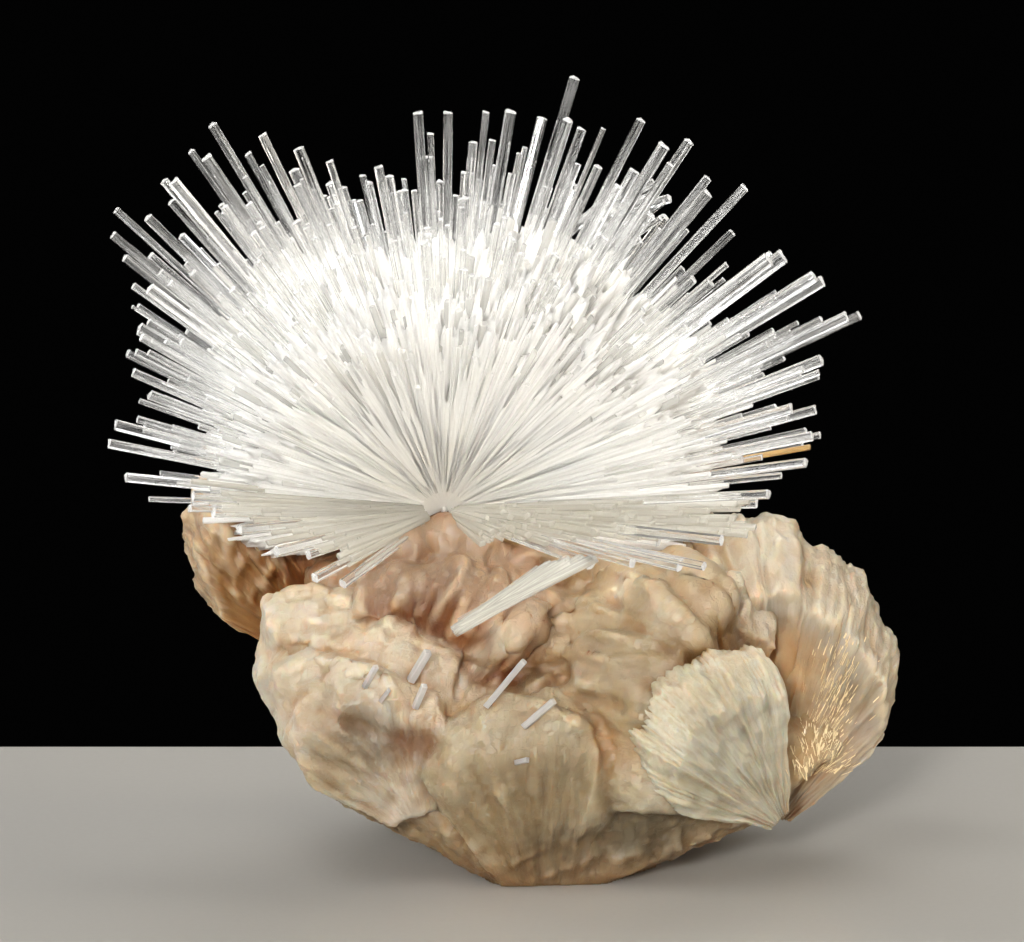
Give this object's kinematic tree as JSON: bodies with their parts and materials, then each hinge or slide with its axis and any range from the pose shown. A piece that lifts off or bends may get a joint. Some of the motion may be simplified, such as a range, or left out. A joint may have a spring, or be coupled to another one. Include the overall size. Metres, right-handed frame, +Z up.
{
  "type": "scolecite specimen",
  "caption": "Radiating spray of clear square scolecite needles on a peach stilbite cluster of fans and plates, standing on its broken foot.",
  "frame": {"origin": "a point in the middle of the flat foot that the specimen stands on", "axes": "+Z up, away from the foot; -Y towards the front, the side the picture shows; +X to the viewer's right"},
  "size_m": [0.132, 0.0884, 0.1322],
  "materials": {
    "stilbite": "peach to cream, slightly translucent, silky to pearly",
    "scolecite": "clear and vitreous, milky white towards the root"
  },
  "bodies": {
    "root": {"stilbite_matrix": "stilbite", "scolecite_spray": "scolecite", "scolecite_side_sheaf": "scolecite", "scolecite_needle_1": "scolecite", "scolecite_needle_2": "scolecite", "scolecite_needle_3": "scolecite", "scolecite_needle_4": "scolecite", "scolecite_needle_5": "scolecite", "scolecite_needle_6": "scolecite", "scolecite_needle_7": "scolecite"}
  },
  "joints": []
}
